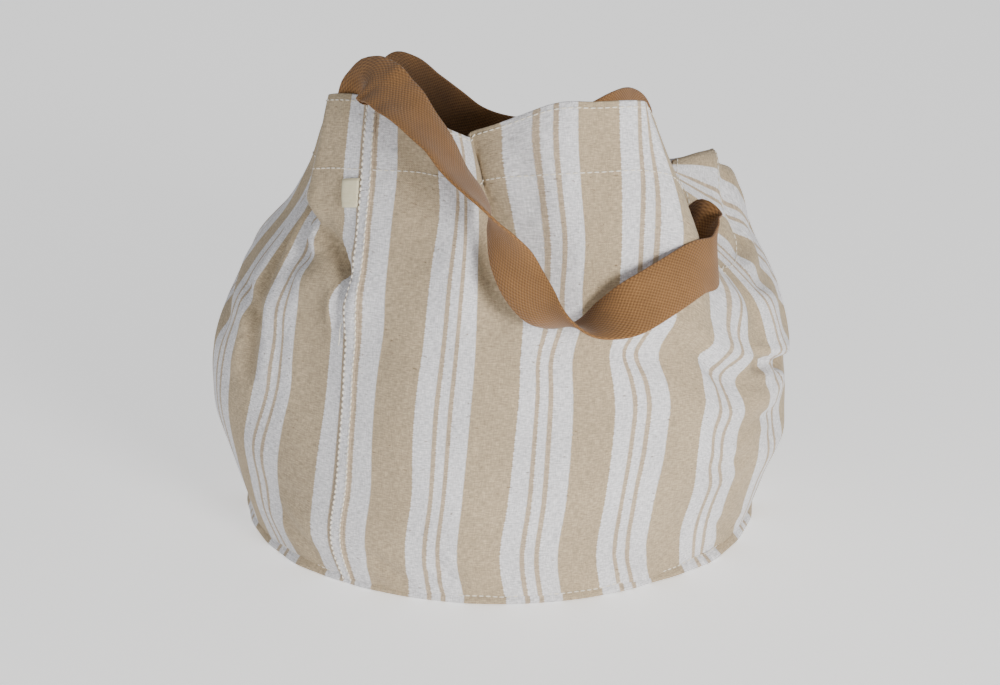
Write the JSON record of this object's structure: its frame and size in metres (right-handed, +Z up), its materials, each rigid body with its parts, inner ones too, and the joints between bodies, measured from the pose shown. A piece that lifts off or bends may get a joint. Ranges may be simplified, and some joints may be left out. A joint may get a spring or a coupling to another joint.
{
  "type": "laundry bag",
  "caption": "Round soft laundry bag of striped cloth on a flat base, with an open hemmed mouth, webbing handles that swing at the rim and a blank side label.",
  "frame": {"origin": "centre of the round base's underside, on the surface the bag stands on", "axes": "+Z up, -Y towards the front panel with the hanging front handle, +X to the right seen from the front"},
  "size_m": [0.4582, 0.4305, 0.3803],
  "materials": {
    "striped_cloth": "matt woven linen and cotton",
    "base_cloth": "matt woven linen and cotton",
    "cotton_webbing": "matt ribbed webbing",
    "cotton_thread": "matt twisted thread",
    "label_tape": "smooth woven tape"
  },
  "bodies": {
    "bag": {"front_panel": "striped_cloth", "back_panel": "striped_cloth", "front_hem": "striped_cloth", "back_hem": "striped_cloth", "left_side_seam": "striped_cloth", "right_side_seam": "striped_cloth", "rim_stitching": "cotton_thread", "hem_stitching": "cotton_thread", "side_seam_stitching": "cotton_thread", "base_panel": "base_cloth", "base_welt": "striped_cloth", "base_stitching": "cotton_thread", "front_handle_left_end": "cotton_webbing", "front_handle_right_end": "cotton_webbing", "back_handle_left_end": "cotton_webbing", "back_handle_right_end": "cotton_webbing", "handle_stitching": "cotton_thread"},
    "front_handle_loop": {"front_handle": "cotton_webbing"},
    "back_handle_loop": {"back_handle": "cotton_webbing"},
    "label": {"side_label": "label_tape"}
  },
  "joints": [
    {"name": "front_handle_swing", "type": "hinge", "parent": "bag", "child": "front_handle_loop", "pos_m": [0.02972, -0.12508, 0.31577], "axis": [-0.9065, -0.1012, 0.41], "range_deg": [0, 115]},
    {"name": "back_handle_swing", "type": "hinge", "parent": "bag", "child": "back_handle_loop", "pos_m": [-0.00354, 0.00322, 0.28875], "axis": [-0.9995, 0.0279, -0.0119], "range_deg": [0, 120]},
    {"name": "label_flap", "type": "hinge", "parent": "bag", "child": "label", "pos_m": [-0.1033, -0.13878, 0.28131], "axis": [0.1458, 0.2282, 0.9626], "range_deg": [0, 150]}
  ]
}
